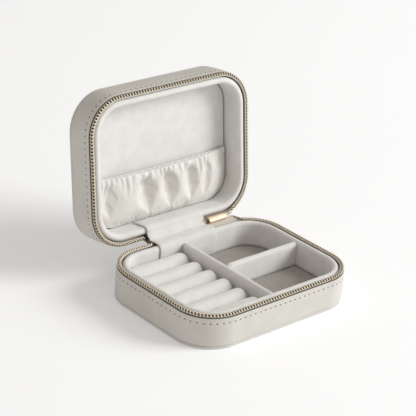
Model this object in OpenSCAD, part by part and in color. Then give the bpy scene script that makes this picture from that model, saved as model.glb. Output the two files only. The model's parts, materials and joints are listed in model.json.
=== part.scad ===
// Travel jewelry box with a zip-around lid, modelled open.
// The lid is drawn in its closed place and turned about the hinge line.
// Origin: centre of the underside. +X runs along the long side, the hinge is at +Y.

/* [Box] */
// Width of the box along the hinge
box_w = 115; // [100:1:140]
// Depth of the box, front to hinge
box_d = 87; // [80:1:110]
// Radius of the four vertical corners
corner_r = 22; // [20:0.5:26]
// Height of the closed box
box_h = 40; // [39:0.5:48]
// Height of the zip line above the table
zip_z = 20.5; // [19:0.5:22]
// How far the lid is opened
lid_open = 98; // [90:1:102]

/* [Walls] */
// Thickness of the leather-covered bottom and top panels
panel_t = 1.8; // [1.4:0.1:2]
// Thickness of the leather on the walls
leather_t = 1; // [0.8:0.1:1]
// Distance from the leather edge to the zip line
edge_gap = 2.5; // [2.3:0.1:2.8]
// Outer face to the inside of the velvet wall
rim_w = 7.2; // [6.8:0.1:8]
// Distance from the leather edge to the stitch line
stitch_drop = 2.9; // [2.5:0.1:4]

/* [Compartments] */
// Position of the long divider across the box
divider_x = -3.5; // [-8:0.5:2]
// Position of the short divider, front to back
short_divider_y = 2; // [-4:0.5:6]
// Thickness of both dividers
divider_t = 4.2; // [3.6:0.1:5]
// Top of the dividers above the table
divider_top = 18.9; // [17:0.1:19.5]
// Number of ring rolls
roll_count = 6; // [6:1:6]
// Top of the ring rolls above the table
roll_top = 15; // [13:0.5:15.5]

/* [Lid pocket] */
// Distance of the pocket's hem from the hinge-side wall of the lid
pocket_h = 30.5; // [24:0.5:34]
// Depth of the pocket off the back panel
pocket_t = 7; // [6.6:0.1:7.4]

/* [Hinge] */
// Width of the soft hinge
hinge_w = 42; // [36:1:42]
// Bending line of the hinge behind the back wall
hinge_back = 1.5; // [1.2:0.1:2]
// Bending line of the hinge below the zip line
hinge_drop = 2.5; // [2:0.1:3]

/* [Zip slider] */
// Length of the slider
slider_len = 12; // [10:0.5:12]
// Length of the pull, from its axis to its tip
pull_len = 14.5; // [11:0.5:15]

/* [Hidden] */
$fn = 64;

leather = "#dcd9d2";
velvet = "#e2e0da";
taupe = "#aaa29a";
brass = "#c9a86c";
board = "#c8b48c";
cloth = "#e8e4da";

// Small play that keeps glued neighbours from sharing space
play = 0.05;
board_t = 1.6;
core_in = 1.75;
core_t = 1.45;
tape_in = leather_t + play;
tape_t = 0.6;
tape_tuck = 6;
coil_in = 0.6;
coil_t = 1.5;
coil_h = 1.45;
coil_gap = 0.1;
liner_t = 3.8;
liner_drop = 0.7;
thread_t = 0.6;
thread_in = 0.1;
groove_in = 0.75;
pad_t = 2.3;
flap_t = 0.5;
rear_y = box_d / 2;
edge_z = zip_z - edge_gap;
floor_z = panel_t + board_t + play;
liner_top = zip_z - liner_drop;
coil_top = zip_z - coil_gap;
coil_z = coil_top - coil_h;
coil_y = rear_y - coil_in - coil_t / 2;
cavity_w = box_w - 2 * rim_w;
cavity_d = box_d - 2 * rim_w;
pivot = [0, rear_y + hinge_back, zip_z - hinge_drop];

// Lid heights in the closed place
lid_edge_z = zip_z + edge_gap;
lid_panel_z = box_h - panel_t;
padding_t = 0.85;
padding_z = lid_panel_z - play - padding_t;
lid_board_z = padding_z - play - 1.35;
back_panel_t = 1.45;
back_panel_z = lid_board_z - play - back_panel_t;

// Zip slider, outside faces
slider_x0 = hinge_w / 2 + 0.5;
slider_travel = 3;
slider_low = edge_z + 0.3;
slider_high = zip_z + 1.9;
slider_in_y = rear_y - 3.1;
slider_out_y = rear_y + 0.6;
plate_t = 0.6;
out_plate_t = 0.8;
flange_t = 0.35;
slot_gap = 0.25;
bail_x = slider_x0 + slider_len / 2;
bail_bar_y = slider_out_y + 1.5;
bail_bar_z = zip_z - 0.3;
bar_d = 0.9;
bail_half = 1.5;
link_t = 1;
link_wall = 0.6;
link_slack = 0.15;
link_len = 2.2;
pull_w = 6;
pull_t = 1;
pull_bar = 1.3;
pull_window = 2.9;
wedge_len = 3;

// Free ends of both coils, past the slider's travel
zip_free_x = slider_x0 + slider_len + slider_travel + 1;

// Axis of the link at rest: the bail's bar, turned with the slider by half the lid's angle
half_open = lid_open / 2;
bar_dy = bail_bar_y - pivot[1];
bar_dz = bail_bar_z - pivot[2];
link_y = pivot[1] + bar_dy * cos(half_open) + bar_dz * sin(half_open);
link_z = pivot[2] - bar_dy * sin(half_open) + bar_dz * cos(half_open);
pull_z = link_z - link_len;

module rounded(inset, h, z) {
    w = box_w - 2 * inset;
    d = box_d - 2 * inset;
    r = corner_r - inset;
    translate([0, 0, z]) linear_extrude(h) union() {
        square([w - 2 * r, d], center = true);
        square([w, d - 2 * r], center = true);
        for (sx = [-1, 1], sy = [-1, 1])
            translate([sx * (w / 2 - r), sy * (d / 2 - r)]) circle(r);
    }
}

// Upright wall between two insets from the outer face
module wall(inset, t, z0, z1) {
    difference() {
        rounded(inset, z1 - z0, z0);
        rounded(inset + t, z1 - z0 + 2, z0 - 1);
    }
}

// Sweeps a section round the box. The section's x is 0 on the outer face, negative inward.
module swept() {
    sx = box_w / 2 - corner_r;
    sy = box_d / 2 - corner_r;
    for (i = [0:3]) {
        cx = (i == 0 || i == 3) ? sx : -sx;
        cy = (i < 2) ? sy : -sy;
        translate([cx, cy, 0]) rotate([0, 0, 90 * i])
            rotate_extrude(angle = 90) translate([corner_r, 0]) children();
    }
    for (i = [0:3]) {
        run = (i % 2 == 0) ? 2 * sy : 2 * sx;
        reach = (i % 2 == 0) ? box_w / 2 : box_d / 2;
        rotate([0, 0, 90 * i]) translate([reach, run / 2, 0])
            rotate([90, 0, 0]) linear_extrude(run) children();
    }
}

// Removes the back wall's stretch from x0 to x1
module cut_rear(x0, x1, z0 = -1, z1 = 60) {
    difference() {
        children();
        translate([x0, rear_y - rim_w - 1, z0]) cube([x1 - x0, rim_w + 3, z1 - z0]);
    }
}

// Puts a lid piece, drawn closed, into its open place
module lid_place() {
    translate(pivot) rotate([-lid_open, 0, 0]) translate(-pivot) children();
}

// Mirrors a base piece across the zip line into the closed lid's place
module across_zip() {
    translate([0, 0, 2 * zip_z]) mirror([0, 0, 1]) children();
}

// ---- Shell of the base ----

module base_bottom_panel() {
    color(leather) rounded(0.25, panel_t, 0);
}

module base_floor_board() {
    color(board) rounded(leather_t + play, board_t, panel_t);
}

module base_core_wall() {
    color(board) wall(core_in, core_t, floor_z, edge_z - 1);
}

module leather_wall(z0, z1) {
    difference() {
        wall(0, leather_t, z0, z1);
        wall(-1, 1 + groove_in, z1 - stitch_drop - 0.35, z1 - stitch_drop + 0.35);
    }
}

module base_wall_cover() {
    color(leather) leather_wall(panel_t, edge_z);
}

module thread_ring(z1) {
    wall(thread_in, groove_in - thread_in - play, z1 - stitch_drop - thread_t / 2,
         z1 - stitch_drop + thread_t / 2);
}

module base_stitch_thread() {
    color(cloth) thread_ring(edge_z);
}

// ---- Zip ----

module tape_ring() {
    wall(tape_in, tape_t, edge_z - tape_tuck, coil_z - play);
}

module coil_ring() {
    wall(coil_in, coil_t, coil_z, coil_top);
}

// One clamped stop at the end of a coil, centred on x
module end_stop(x) {
    translate([x - 0.65, coil_y - coil_t / 2, coil_z]) cube([1.3, coil_t, coil_h]);
}

// Stops at both ends of one coil
module stop_pair() {
    turn = -asin((zip_free_x + 0.75 - box_w / 2 + corner_r) / (corner_r - coil_in));
    corner = [box_w / 2 - corner_r, rear_y - corner_r, 0];
    end_stop(-hinge_w / 2 - 0.8);
    translate(corner) rotate([0, 0, turn]) translate(-corner) end_stop(corner[0]);
}

module open_tape() {
    cut_rear(-hinge_w / 2, zip_free_x) tape_ring();
}

module open_coil() {
    cut_rear(-hinge_w / 2 - 1.6, zip_free_x + 1.5) coil_ring();
}

module base_zip_tape() { color(cloth) open_tape(); }
module base_zip_coil() { color(brass) open_coil(); }
module base_end_stops() { color(brass) stop_pair(); }

// Puts the slider's group, drawn on the closed zip, half way between base and lid
module half_place() {
    translate(pivot) rotate([-half_open, 0, 0]) translate(-pivot) children();
}

// Joined end of both coils, which the slider parks on
module zip_end_coil() {
    w = slider_len - wedge_len - 1.4;
    color(brass) half_place() translate([slider_x0 + 0.5, coil_y - 0.65, zip_z - 1.4])
        cube([w, 1.3, 2.7]);
}

// Two plates joined by the wedge, with flanges that hold the coils, and the bail
module zip_slider() {
    inner_face = slider_in_y + plate_t;
    outer_face = slider_out_y - out_plate_t;
    tape_lo = rear_y - tape_in - tape_t - slot_gap;
    tape_hi = rear_y - tape_in + slot_gap;
    h = slider_high - slider_low;
    color(brass) half_place() {
        translate([slider_x0, slider_in_y, slider_low]) cube([slider_len, plate_t, h]);
        translate([slider_x0, outer_face, slider_low]) cube([slider_len, out_plate_t, h]);
        for (z = [slider_low, slider_high - flange_t]) {
            translate([slider_x0, inner_face, z])
                cube([slider_len, tape_lo - inner_face, flange_t]);
            translate([slider_x0, tape_hi, z])
                cube([slider_len, outer_face - tape_hi, flange_t]);
        }
        // Wedge that parts the two coils
        translate([slider_x0 + slider_len - wedge_len - 0.3, inner_face, zip_z - 0.5])
            cube([wedge_len, outer_face - inner_face, 1]);
        bail();
    }
}

// Bar along the slider on two legs
module bail() {
    translate([bail_x - bail_half - 0.4, bail_bar_y, bail_bar_z]) rotate([0, 90, 0])
        cylinder(h = 2 * bail_half + 0.8, d = bar_d, $fn = 32);
    for (side = [-1, 1])
        translate([bail_x + side * (bail_half + 0.05) - 0.35, slider_out_y, bail_bar_z - 0.4])
            cube([0.7, bail_bar_y - slider_out_y, 0.8]);
}

// Outline with round ends, between two heights
module stadium(w, z0, z1) {
    r = w / 2;
    union() {
        translate([-r, z0 + r]) square([w, z1 - z0 - w]);
        translate([0, z0 + r]) circle(r, $fn = 32);
        translate([0, z1 - r]) circle(r, $fn = 32);
    }
}

// Oval link that hangs on the bail and carries the pull
module pull_link() {
    hole_w = bar_d + 2 * link_slack;
    top = link_z + hole_w / 2;
    low = pull_z - pull_t / 2 - link_slack;
    color(brass) translate([bail_x - link_t / 2, link_y, 0]) rotate([90, 0, 90])
        linear_extrude(link_t) difference() {
            stadium(hole_w + 2 * link_wall, low - link_wall, top + link_wall);
            stadium(hole_w, low, top);
        }
}

// Pull with a window that the link passes through
module pull_tab() {
    plate_top = pull_z - pull_window;
    tip = pull_z - pull_len + pull_w / 2;
    color(brass) {
        translate([bail_x - pull_w / 2, link_y, pull_z])
            rotate([0, 90, 0]) cylinder(h = pull_w, d = pull_t, $fn = 32);
        for (x = [bail_x - pull_w / 2, bail_x + pull_w / 2 - pull_bar])
            translate([x, link_y - pull_t / 2, plate_top]) cube([pull_bar, pull_t, pull_window]);
        translate([bail_x, link_y + pull_t / 2, 0]) rotate([90, 0, 0])
            linear_extrude(pull_t) union() {
                translate([-pull_w / 2, tip]) square([pull_w, plate_top - tip]);
                translate([0, tip]) circle(pull_w / 2);
            }
    }
}

// ---- Lining and compartments of the base ----

// Velvet-wrapped foam wall with a rounded top
module liner_ring(z0) {
    swept() union() {
        r = liner_t / 2;
        translate([-rim_w, z0]) square([liner_t, liner_top - r - z0]);
        translate([-rim_w + r, liner_top - r]) circle(r);
    }
}

module base_liner_wall() {
    color(velvet) liner_ring(floor_z);
}

// Keeps what lies inside the velvet wall
module in_cavity(gap = 0.1) {
    intersection() {
        children();
        rounded(rim_w + gap, box_h, 0);
    }
}

right_x0 = divider_x + divider_t / 2 + play;
right_w = box_w / 2 - right_x0;

module floor_pad(y0, y1) {
    in_cavity(0.2) translate([right_x0 + 0.15, y0, floor_z]) cube([right_w, y1 - y0, pad_t]);
}

module floor_pad_rear() {
    color(taupe) floor_pad(short_divider_y + divider_t / 2 + 0.2, rear_y);
}

module floor_pad_front() {
    color(taupe) floor_pad(-rear_y, short_divider_y - divider_t / 2 - 0.2);
}

module ring_bed_board() {
    w = box_w / 2 + divider_x - divider_t / 2 - play;
    color(board) in_cavity()
        translate([-box_w / 2, -rear_y, floor_z]) cube([w, box_d, board_t]);
}

// Upright board section and the velvet sleeve round it, along +X from the origin
module divider_section(t, inset) {
    r = t / 2;
    translate([-r, floor_z + (inset > 0 ? play : 0)])
        square([t, divider_top - inset - r - floor_z - (inset > 0 ? play : 0)]);
    translate([0, divider_top - inset - r]) circle(r);
}

module divider(len, t, inset) {
    rotate([90, 0, 90]) linear_extrude(len) divider_section(t, inset);
}

sleeve_t = 1.1;
long_len = cavity_d - flap_t - 0.3;
short_len = cavity_w / 2 - right_x0 - 0.15;

module long_place() {
    translate([divider_x, 0.1 - cavity_d / 2, 0]) rotate([0, 0, 90]) children();
}

module short_place() {
    translate([right_x0 + 0.05, short_divider_y, 0]) children();
}

module sleeve(len) {
    difference() {
        divider(len, divider_t, 0);
        translate([-1, 0, -1]) divider(len + 2, divider_t - 2 * sleeve_t + 0.1, sleeve_t + 1);
        translate([-1, -divider_t / 2 + sleeve_t, floor_z - 1])
            cube([len + 2, divider_t - 2 * sleeve_t, 3]);
    }
}

module board_core(len) {
    t = divider_t - 2 * sleeve_t - 0.1;
    translate([0, -t / 2, floor_z + play]) cube([len, t, divider_top - 4 - floor_z]);
}

module long_divider_cover() { color(velvet) long_place() sleeve(long_len); }
module long_divider_board() { color(board) long_place() board_core(long_len); }
module short_divider_cover() { color(velvet) short_place() sleeve(short_len); }
module short_divider_board() { color(board) short_place() board_core(short_len); }

bed_z = floor_z + board_t + play;
roll_pitch = (cavity_d - 0.4) / roll_count;
roll_w = roll_pitch - 0.3;
roll_x0 = -cavity_w / 2;
roll_x1 = divider_x - divider_t / 2 - 0.6;

// Half-round roll section with straight foot, shrunk by a skin thickness
module roll_body(skin, index) {
    r = roll_w / 2 - skin;
    y = cavity_d / 2 - 0.2 - roll_pitch * (index - 0.5);
    in_cavity(0.3 + skin) translate([roll_x0 + skin, y, 0]) rotate([90, 0, 90])
        linear_extrude(roll_x1 - roll_x0 - 2 * skin) intersection() {
            union() {
                translate([0, roll_top - skin - r]) circle(r);
                translate([-r, bed_z]) square([2 * r, roll_top - skin - r - bed_z]);
            }
            translate([-r, bed_z + skin]) square([2 * r, roll_top]);
        }
}

velvet_t = 0.7;

module ring_roll(index) {
    color(velvet) difference() {
        roll_body(0, index);
        roll_body(velvet_t, index);
    }
}

module ring_roll_1() { ring_roll(1); }
module ring_roll_2() { ring_roll(2); }
module ring_roll_3() { ring_roll(3); }
module ring_roll_4() { ring_roll(4); }
module ring_roll_5() { ring_roll(5); }
module ring_roll_6() { ring_roll(6); }

module ring_roll_foam() {
    color(cloth) for (i = [1:roll_count]) roll_body(velvet_t + play, i);
}

// ---- Soft hinge ----

// Velvet flap down the inside of the back wall and over its rim
module flap_half() {
    in_y = rear_y - rim_w - flap_t - play;
    translate([-hinge_w / 2, in_y, liner_top - 9]) cube([hinge_w, flap_t, 9 + flap_t]);
    translate([-hinge_w / 2, in_y, liner_top + play]) cube([hinge_w, 5.4, flap_t - play]);
}

// Leather strip on the outside of the back wall
module spine_half() {
    translate([-hinge_w / 2, rear_y + play, edge_z - 9]) cube([hinge_w, 0.8, 8.6]);
}

module hinge_flap_base() { color(velvet) flap_half(); }
module hinge_spine_base() { color(leather) spine_half(); }
module hinge_flap_lid() { color(velvet) lid_place() across_zip() flap_half(); }
module hinge_spine_lid() { color(leather) lid_place() across_zip() spine_half(); }

// ---- Lid ----

module lid_top_panel() {
    color(leather) lid_place() rounded(0.25, panel_t, lid_panel_z);
}

module lid_top_padding() {
    color(cloth) lid_place() rounded(leather_t + 0.2, padding_t, padding_z);
}

module lid_top_board() {
    color(board) lid_place() rounded(leather_t + 0.2, 1.35, lid_board_z);
}

module lid_core_wall() {
    color(board) lid_place() wall(core_in, core_t, lid_edge_z + 1, lid_board_z - play);
}

module lid_wall_cover() {
    color(leather) lid_place() across_zip()
        leather_wall(2 * zip_z - lid_panel_z, edge_z);
}

module lid_stitch_thread() {
    color(cloth) lid_place() across_zip() thread_ring(edge_z);
}

module lid_zip_tape() { color(cloth) lid_place() across_zip() open_tape(); }
module lid_zip_coil() { color(brass) lid_place() across_zip() open_coil(); }
module lid_end_stops() { color(brass) lid_place() across_zip() stop_pair(); }

// The rim is lower beside the slider, so that the slider has room as the lid turns
module lid_liner_wall() {
    notch_y = rear_y - rim_w + 1.2;
    color(velvet) lid_place() difference() {
        across_zip() liner_ring(2 * zip_z - lid_board_z + play);
        translate([slider_x0 - 1, notch_y, zip_z])
            cube([slider_len + slider_travel + 2, rim_w, 2.1]);
    }
}

module lid_back_panel() {
    color(velvet) lid_place() rounded(rim_w + 0.1, back_panel_t, back_panel_z);
}

// Hollow cloth pocket, open at the hem and against the back panel
pocket_edge = rim_w + 0.6;
cloth_t = 0.8;
hem_y = cavity_d / 2 - pocket_h;

module pocket_block(inset, y0, z0) {
    intersection() {
        rounded(pocket_edge + inset, box_h, 0);
        translate([-box_w / 2, y0, z0]) cube([box_w, box_d, back_panel_z - play - z0]);
    }
}

module pocket_cloth() {
    color(cloth) lid_place() difference() {
        pocket_block(0, hem_y, back_panel_z - pocket_t);
        translate([0, 0, 1]) pocket_block(cloth_t, hem_y - 1, back_panel_z - pocket_t + cloth_t - 1);
    }
}

module pocket_elastic() {
    w = cavity_w - 2 * (pocket_edge - rim_w) - 2 * cloth_t - 1;
    color(cloth) lid_place()
        translate([-w / 2, hem_y + 0.3, back_panel_z - pocket_t + cloth_t + play])
            cube([w, 2.6, 0.5]);
}

base_bottom_panel();
base_floor_board();
base_core_wall();
base_wall_cover();
base_stitch_thread();
base_zip_tape();
base_zip_coil();
base_end_stops();
base_liner_wall();
floor_pad_rear();
floor_pad_front();
ring_bed_board();
long_divider_board();
long_divider_cover();
short_divider_board();
short_divider_cover();
ring_roll_1();
ring_roll_2();
ring_roll_3();
ring_roll_4();
ring_roll_5();
ring_roll_6();
ring_roll_foam();
hinge_flap_base();
hinge_spine_base();
zip_end_coil();
zip_slider();
pull_link();
pull_tab();
lid_top_panel();
lid_top_padding();
lid_top_board();
lid_core_wall();
lid_wall_cover();
lid_stitch_thread();
lid_zip_tape();
lid_zip_coil();
lid_end_stops();
lid_liner_wall();
lid_back_panel();
pocket_cloth();
pocket_elastic();
hinge_flap_lid();
hinge_spine_lid();
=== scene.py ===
"""Looks of a zip-around travel jewelry box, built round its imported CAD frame.

The base and the lid are the same kind of tray. Each is built in tray coordinates, with the zip line
on top, and its Tray puts it in place: the base as it is, the lid mirrored and turned open.
"""
import math

import bmesh
import bpy
from mathutils import Matrix, Vector, noise
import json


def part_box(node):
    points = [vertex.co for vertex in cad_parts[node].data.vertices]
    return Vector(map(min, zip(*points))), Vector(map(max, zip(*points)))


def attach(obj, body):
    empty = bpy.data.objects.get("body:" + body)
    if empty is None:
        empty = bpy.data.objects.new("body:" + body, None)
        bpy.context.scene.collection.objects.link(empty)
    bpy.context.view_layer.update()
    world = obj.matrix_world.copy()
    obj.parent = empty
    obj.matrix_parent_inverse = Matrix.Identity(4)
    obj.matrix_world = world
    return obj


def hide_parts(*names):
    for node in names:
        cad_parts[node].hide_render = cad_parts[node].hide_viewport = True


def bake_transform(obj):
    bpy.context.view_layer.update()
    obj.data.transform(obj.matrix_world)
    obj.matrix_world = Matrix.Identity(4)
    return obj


MM = 0.001
UP = Vector((0, 0, 1))

# Sizes that the frame doesn't state
CORNER_R = 22 * MM
STITCH_DROP = 2.9 * MM
STITCH_PITCH = 3.6 * MM
COIL_PITCH = 1.9 * MM
HINGE_HALF = 21 * MM
LINER_W = 3.8 * MM
ROLL_COUNT = 6


# ---- Small helpers ----

def smooth(t):
    t = min(1.0, max(0.0, t))
    return t * t * (3 - 2 * t)


def lerp(a, b, t):
    return a + (b - a) * t


def wobble(point, size, seed=0.0):
    """Smooth noise between -1 and 1 with features of the given size."""
    return noise.noise(Vector(point) / size + Vector((seed, 2.7 * seed, -seed)))


def arc(start, end, steps):
    """Cosine and sine at even steps from start to end, both in quarter turns."""
    angles = [math.pi / 2 * lerp(start, end, k / steps) for k in range(steps + 1)]
    return [(math.cos(angle), math.sin(angle)) for angle in angles]


def circle(count):
    return arc(0, 4, count)[:-1]


def bulge(value, power):
    """value raised to power, with its sign kept. It squares off a round section."""
    return math.copysign(abs(value) ** power, value)


def make_object(name, verts, faces):
    mesh = bpy.data.meshes.new(name)
    mesh.from_pydata([tuple(v) for v in verts], [], faces)
    mesh.validate()
    shade_smooth(mesh)
    obj = bpy.data.objects.new(name, mesh)
    bpy.context.scene.collection.objects.link(obj)
    return obj


def shade_smooth(mesh):
    mesh.polygons.foreach_set("use_smooth", [True] * len(mesh.polygons))


def solid(name, verts, faces):
    """A closed object with its faces turned outwards."""
    obj = make_object(name, verts, faces)
    bm = bmesh.new()
    bm.from_mesh(obj.data)
    bmesh.ops.recalc_face_normals(bm, faces=bm.faces)
    bm.to_mesh(obj.data)
    bm.free()
    return obj


def band_faces(n, rings, closed=False):
    """Quads between neighbouring rings of n points. closed joins the last ring to the first."""
    faces = []
    for i in range(rings if closed else rings - 1):
        a, b = i * n, (i + 1) % rings * n
        for k in range(n):
            m = (k + 1) % n
            faces.append((a + k, a + m, b + m, b + k))
    return faces


def add_rings(verts, faces, rings, closed=False):
    """Adds a solid through same-length rings of points to the lists of a mesh."""
    start, n = len(verts), len(rings[0])
    new = band_faces(n, len(rings), closed)
    if not closed:
        new.append(tuple(range(n)))
        new.append(tuple(reversed(range((len(rings) - 1) * n, len(rings) * n))))
    for ring in rings:
        verts += ring
    faces += [tuple(start + i for i in face) for face in new]


def loft(name, rings, closed=False):
    verts, faces = [], []
    add_rings(verts, faces, rings, closed)
    return solid(name, verts, faces)


def sheet(name, rows):
    """An open sheet of quads over rows of points."""
    across = len(rows[0])
    faces = []
    for i in range(len(rows) - 1):
        for k in range(across - 1):
            a = i * across + k
            faces.append((a, a + 1, a + across + 1, a + across))
    return make_object(name, [p for row in rows for p in row], faces)


def apply_modifiers(obj):
    graph = bpy.context.evaluated_depsgraph_get()
    mesh = bpy.data.meshes.new_from_object(obj.evaluated_get(graph))
    old = obj.data
    obj.modifiers.clear()
    obj.data = mesh
    mesh.name = obj.name
    bpy.data.meshes.remove(old)


def modify(obj, kind, **values):
    """Applies one modifier, so that the object keeps plain mesh data."""
    modifier = obj.modifiers.new(kind.lower(), kind)
    for key, value in values.items():
        setattr(modifier, key, value)
    apply_modifiers(obj)


def thicken(obj, thickness):
    modify(obj, "SOLIDIFY", thickness=thickness, offset=0)
    shade_smooth(obj.data)
    return obj


def dress(obj, material, slot, body, *nodes):
    """Gives a finished piece its material, its body and the CAD nodes that it stands for."""
    obj.data.materials.clear()
    obj.data.materials.append(material)
    if body:
        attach(obj, body)
    if nodes:
        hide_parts(*nodes)
    return obj


# ---- The frame's measures ----

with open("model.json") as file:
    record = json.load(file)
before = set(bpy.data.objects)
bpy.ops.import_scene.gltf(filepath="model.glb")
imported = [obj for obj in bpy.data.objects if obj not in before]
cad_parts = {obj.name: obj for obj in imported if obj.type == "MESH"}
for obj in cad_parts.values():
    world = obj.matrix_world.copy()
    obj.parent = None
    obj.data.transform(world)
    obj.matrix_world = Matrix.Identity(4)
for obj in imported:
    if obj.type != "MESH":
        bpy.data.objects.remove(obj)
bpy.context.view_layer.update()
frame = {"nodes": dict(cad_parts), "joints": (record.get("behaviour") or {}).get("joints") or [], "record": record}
JOINTS = {joint["name"]: joint for joint in frame["joints"]}
HINGE = JOINTS["lid_hinge"]
PIVOT = Vector(HINGE["pos_m"])
OPEN_ANGLE = -math.radians(HINGE["range_deg"][0])
ZIP_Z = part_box("base_zip_coil")[1].z + 0.1 * MM
WALL_LOW, WALL_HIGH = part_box("base_wall_cover")
BOX_W = WALL_HIGH.x - WALL_LOW.x
BOX_D = WALL_HIGH.y - WALL_LOW.y
REAR_Y = BOX_D / 2


def about_hinge(angle):
    turn = Matrix.Rotation(angle, 4, Vector(HINGE["axis"]))
    return Matrix.Translation(PIVOT) @ turn @ Matrix.Translation(-PIVOT)


def box_of(points):
    """Lowest and highest corners of some points."""
    low = Vector([min(p[i] for p in points) for i in range(3)])
    high = Vector([max(p[i] for p in points) for i in range(3)])
    return low, high


def middle_of(box):
    return (box[0] + box[1]) / 2


class Tray:
    """One half of the box. Tray coordinates have the zip line on top, as the base does."""

    def __init__(self, name, place):
        self.name = name
        self.place = place
        self.back = place.inverted()
        self.mirrored = place.determinant() < 0

    def node(self, piece):
        return f"{self.name}_{piece}"

    def box(self, node):
        return box_of([self.back @ v.co for v in frame["nodes"][node].data.vertices])

    def put(self, obj):
        """Moves a piece's mesh from tray coordinates to its place in the frame."""
        obj.data.transform(self.place)
        if self.mirrored:
            obj.data.flip_normals()
        obj.data.update()
        return obj

    def finish(self, obj, material, slot, *pieces):
        """Puts a piece in place and dresses it. pieces name the nodes of this half it stands for."""
        nodes = [self.node(piece) for piece in pieces]
        return dress(self.put(obj), material, slot, self.name, *nodes)


MIRROR = Matrix.Translation((0, 0, 2 * ZIP_Z)) @ Matrix.Scale(-1, 4, (0, 0, 1))
BASE = Tray("base", Matrix.Identity(4))
LID = Tray("lid", about_hinge(OPEN_ANGLE) @ MIRROR)


# ---- The outline of both trays ----

HALF_W = BOX_W / 2 - CORNER_R
HALF_D = BOX_D / 2 - CORNER_R
QUARTER = math.pi * CORNER_R / 2
LENGTHS = [HALF_W, QUARTER, 2 * HALF_D, QUARTER, 2 * HALF_W, QUARTER, 2 * HALF_D, QUARTER, HALF_W]
PERIMETER = sum(LENGTHS)


def outline(s):
    """Point and outward normal at arc length s, from the rear middle towards -X and round."""
    s = s % PERIMETER
    centres = [(-1, 1), (-1, -1), (1, -1), (1, 1)]
    for i, length in enumerate(LENGTHS):
        if s <= length or i == len(LENGTHS) - 1:
            break
        s -= length
    side = i // 2
    if i % 2:
        angle = math.pi / 2 * (1 + side) + s / CORNER_R
        cx, cy = centres[side][0] * HALF_W, centres[side][1] * HALF_D
        n = Vector((math.cos(angle), math.sin(angle)))
        return Vector((cx, cy)) + n * CORNER_R, n
    starts = [(0, REAR_Y), (-BOX_W / 2, HALF_D), (-HALF_W, -REAR_Y), (BOX_W / 2, -HALF_D),
              (HALF_W, REAR_Y)]
    ways = [(-1, 0), (0, -1), (1, 0), (0, 1), (-1, 0)]
    start, way = Vector(starts[side]), Vector(ways[side])
    return start + way * s, Vector((way.y, -way.x))


def at(s, inset, z):
    p, n = outline(s)
    return Vector((p.x - n.x * inset, p.y - n.y * inset, z))


def outward(s):
    n = outline(s)[1]
    return Vector((n.x, n.y, 0))


def sweep(name, section, s0=0.0, s1=None, step=1.2 * MM):
    """Sweeps section(s), a closed line of (inset, z) points, from s0 to s1 or all round."""
    closed = s1 is None
    length = PERIMETER if closed else s1 - s0
    count = max(3, round(length / step))
    rings = []
    for i in range(count if closed else count + 1):
        s = s0 + length * i / count
        rings.append([at(s, inset, z) for inset, z in section(s)])
    return loft(name, rings, closed)


def crowned(rim, shares, z, crown, reach, unevenness, size, seed):
    """Rings inside a level rim, at shares of its size, that rise by crown towards the middle."""
    centre = sum(rim, Vector()) / len(rim)
    rings = []
    for t in shares:
        ring = []
        for p in rim:
            q = centre.lerp(p, t)
            rise = crown * smooth((1 - t) / reach)
            q.z = z + rise * (1 + unevenness * wobble(q, size, seed))
            ring.append(q)
        rings.append(ring)
    return rings


def slab(name, rings, last_z, first_z):
    """Closes a stack of rings into a slab, with a fan over its first and its last ring."""
    n = len(rings[0])
    verts = [p for ring in rings for p in ring]
    faces = band_faces(n, len(rings))
    for index, z in ((0, first_z), (len(rings) - 1, last_z)):
        centre = sum((Vector(p) for p in rings[index]), Vector()) / n
        verts.append(Vector((centre.x, centre.y, z)))
        faces += [(index * n + k, index * n + (k + 1) % n, len(verts) - 1) for k in range(n)]
    return solid(name, verts, faces)


# ---- Materials ----

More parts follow.
